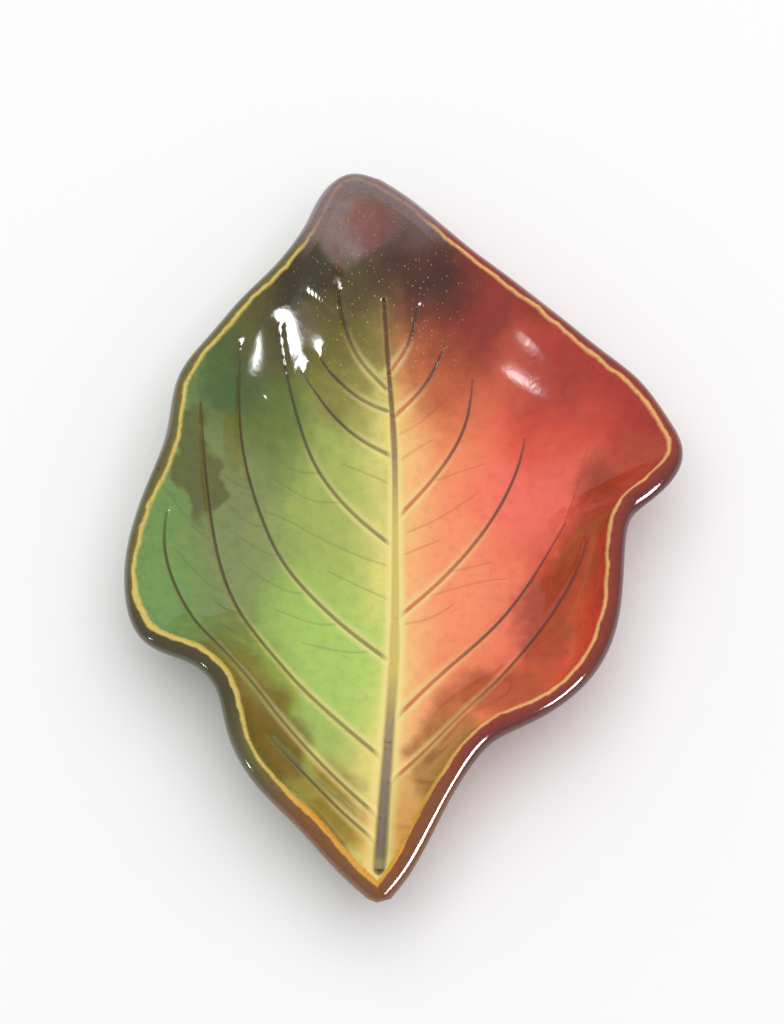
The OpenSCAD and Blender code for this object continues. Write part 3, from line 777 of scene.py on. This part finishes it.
def clay_material():
    """Bare buff stoneware with dark grog, toasted where it nears the glaze."""
    material, net, shader = new_material("bare_buff_clay")
    place = net.place()
    clouds = net.noise(place, 0.12, 5.0, 0.6)
    paint = net.ramp(clouds, [
        (0.3, colour(176, 146, 112)), (0.55, colour(204, 180, 146)), (0.75, colour(218, 200, 170))])
    grog = net.maths("MULTIPLY", net.specks(place, 1.1, 0.2), 0.6)
    paint = net.mix(grog, paint, colour(96, 66, 42))
    height_mm = net.add("ShaderNodeSeparateXYZ", {0: place}).outputs[2]
    paint = net.mix(net.span(height_mm, 0.2, 1.4, 0.0, 0.6), paint, colour(158, 104, 66))
    grain = net.noise(place, 2.6, 6.0, 0.7)
    lumps = net.add("ShaderNodeBump", {"Strength": 0.35, "Distance": 0.0006, "Height": grain})
    net.put(shader.inputs["Base Color"], paint)
    net.put(shader.inputs["Roughness"], net.span(grain, 0.3, 0.7, 0.62, 0.85))
    net.put(shader.inputs["Normal"], lumps.outputs[0])
    return material


UNDER_GLOSS = 0.03
place_piece(clay, "clay_body", clay_material())
for piece, node, slot, name, settings in (
        (left_face, "left_face_glaze", "green_glaze", "green_face_glaze", {}),
        (right_face, "right_face_glaze", "red_glaze", "red_face_glaze", {}),
        (tip, "tip_glaze", "mauve_glaze", "mauve_tip_glaze", {"bump": 0.03}),
        (lip_coat, "lip_glaze", "amber_glaze", "amber_lip_glaze", {"kind": "lip"}),
        (left_back, "left_back_glaze", "olive_back_glaze", "olive_back_glaze", {"kind": "back"}),
        (right_back, "right_back_glaze", "russet_back_glaze", "russet_back_glaze", {"kind": "back"}),
        (stalk, "stalk_stain", "dark_stain", "dark_stalk_stain", {"rough_add": UNDER_GLOSS}),
        (midrib, "midrib_stain", "straw_stain", "straw_midrib_stain", {"rough_add": UNDER_GLOSS}),
        (left_stain, "left_vein_stain", "green_vein_stain", "left_vein_stain", {"rough_add": UNDER_GLOSS}),
        (right_stain, "right_vein_stain", "red_vein_stain", "right_vein_stain", {"rough_add": UNDER_GLOSS})):
    place_piece(piece, node, glossy_material(name, **settings))

# The table
floor_mesh = bpy.data.meshes.new("table_top")
half = 2.5
table_corners = [(-half, -half, 0), (half, -half, 0), (half, half, 0), (-half, half, 0)]
floor_mesh.from_pydata(table_corners, [], [(0, 1, 2, 3)])
floor = bpy.data.objects.new("table_top", floor_mesh)
bpy.context.collection.objects.link(floor)
floor_material, _, floor_shader = new_material("pale_table")
floor_shader.inputs["Base Color"].default_value = (0.93, 0.93, 0.93, 1)
floor_shader.inputs["Roughness"].default_value = 0.9
floor_shader.inputs["Specular IOR Level"].default_value = 0.1
floor_mesh.materials.append(floor_material)


def lamp(name, place, aim, width, height, power, mirrored=True):
    """A soft lamp that lights the dish, or a bright card that only mirrors in its gloss."""
    data = bpy.data.lights.new(name, "AREA")
    data.shape = "RECTANGLE"
    data.size, data.size_y, data.energy = width, height, power
    light = bpy.data.objects.new(name, data)
    light.location = place
    light.visible_glossy = mirrored
    light.visible_diffuse = not mirrored
    light.rotation_euler = (Vector(aim) - Vector(place)).to_track_quat("-Z", "Y").to_euler()
    bpy.context.collection.objects.link(light)


lamp("overhead_softbox", (0.1, 0.3, 1.4), (0, 0, 0), 2.0, 2.0, 18.5, False)
lamp("right_card", (0.74, -0.52, 0.43), (-0.01, 0.02, 0.01), 0.3, 0.2, 6.5)
lamp("left_card", (-0.86, -0.42, 0.3), (0.01, 0.02, 0.01), 0.05, 0.06, 0.4)

world = bpy.data.worlds.new("pale_room")
bpy.context.scene.world = world
world.use_nodes = True
net = Net(world.node_tree)
background = world.node_tree.nodes["Background"]
background.inputs["Strength"].default_value = 1.0
seen = net.add("ShaderNodeLightPath").outputs["Is Camera Ray"]
net.put(background.inputs["Color"], net.mix(seen, (0.5, 0.5, 0.51, 1), (0.95, 0.95, 0.95, 1)))

# The camera looks down from the stalk's side, 18 degrees off the upright
TILT, DISTANCE, TARGET = math.radians(18), 0.49, Vector((-0.0017, 0.0042, 0.008))
camera_data = bpy.data.cameras.new("camera")
camera_data.lens, camera_data.sensor_fit, camera_data.sensor_height = 100, "VERTICAL", 36
camera_data.clip_start = 0.01
camera = bpy.data.objects.new("camera", camera_data)
camera.location = TARGET + DISTANCE * Vector((0, -math.sin(TILT), math.cos(TILT)))
camera.rotation_euler = (TILT, 0, 0)
bpy.context.collection.objects.link(camera)
bpy.context.scene.camera = camera
bpy.context.scene.view_settings.view_transform = "Standard"
